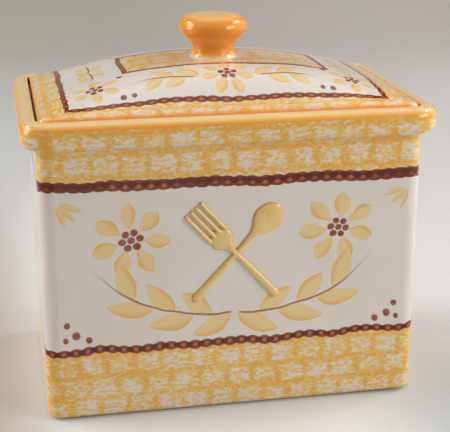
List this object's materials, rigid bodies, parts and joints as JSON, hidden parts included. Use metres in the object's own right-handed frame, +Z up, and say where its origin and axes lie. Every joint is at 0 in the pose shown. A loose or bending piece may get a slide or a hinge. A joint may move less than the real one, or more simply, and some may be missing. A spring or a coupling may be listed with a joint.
{
  "type": "recipe card box",
  "caption": "Oblong glazed ceramic box with a rolled rim and a domed, knobbed lid that lifts off, holding tabbed dividers and recipe cards.",
  "frame": {"origin": "centre of the foot, in the plane that the box stands on", "axes": "+X to the right along the box's width, +Y to the back, +Z up; the box's front faces -Y"},
  "size_m": [0.1828, 0.1198, 0.1724],
  "materials": {
    "white_glaze": "glossy warm white glaze over earthenware, sponged and brushed in yellow, ochre and brown",
    "ochre_glaze": "glossy ochre glaze",
    "divider_board": "plain buff board",
    "card_paper": "uncoated cream card"
  },
  "bodies": {
    "box": {"box_body": "white_glaze"},
    "lid": {"lid": "white_glaze", "lid_knob": "ochre_glaze"},
    "card_section_1": {"divider_1": "divider_board", "recipe_cards_1": "card_paper"},
    "card_section_2": {"divider_2": "divider_board", "recipe_cards_2": "card_paper"},
    "card_section_3": {"divider_3": "divider_board", "recipe_cards_3": "card_paper"},
    "card_section_4": {"divider_4": "divider_board", "recipe_cards_4": "card_paper"},
    "card_section_5": {"divider_5": "divider_board", "recipe_cards_5": "card_paper"},
    "card_section_6": {"divider_6": "divider_board", "recipe_cards_6": "card_paper"}
  },
  "joints": [
    {"name": "lid_lift", "type": "slide", "parent": "box", "child": "lid", "axis": [0, 0, 1], "range_m": [0, 0.12]},
    {"name": "section_1_tip", "type": "hinge", "parent": "box", "child": "card_section_1", "pos_m": [0, -0.00374, 0.00714], "axis": [1, 0, 0], "range_deg": [0, 25]},
    {"name": "section_2_tip", "type": "hinge", "parent": "box", "child": "card_section_2", "pos_m": [0, 0.00291, 0.00714], "axis": [1, 0, 0], "range_deg": [0, 21]},
    {"name": "section_3_tip", "type": "hinge", "parent": "box", "child": "card_section_3", "pos_m": [0, 0.00956, 0.00714], "axis": [1, 0, 0], "range_deg": [0, 17]},
    {"name": "section_4_tip", "type": "hinge", "parent": "box", "child": "card_section_4", "pos_m": [0, 0.0162, 0.00714], "axis": [1, 0, 0], "range_deg": [0, 13]},
    {"name": "section_5_tip", "type": "hinge", "parent": "box", "child": "card_section_5", "pos_m": [0, 0.02285, 0.00714], "axis": [1, 0, 0], "range_deg": [0, 9]},
    {"name": "section_6_tip", "type": "hinge", "parent": "box", "child": "card_section_6", "pos_m": [0, 0.02949, 0.00714], "axis": [1, 0, 0], "range_deg": [0, 5]}
  ],
  "couplings": [
    {"joint": "section_2_tip", "follows": "section_1_tip", "ratio": 0.84},
    {"joint": "section_3_tip", "follows": "section_1_tip", "ratio": 0.68},
    {"joint": "section_4_tip", "follows": "section_1_tip", "ratio": 0.52},
    {"joint": "section_5_tip", "follows": "section_1_tip", "ratio": 0.36},
    {"joint": "section_6_tip", "follows": "section_1_tip", "ratio": 0.2}
  ]
}
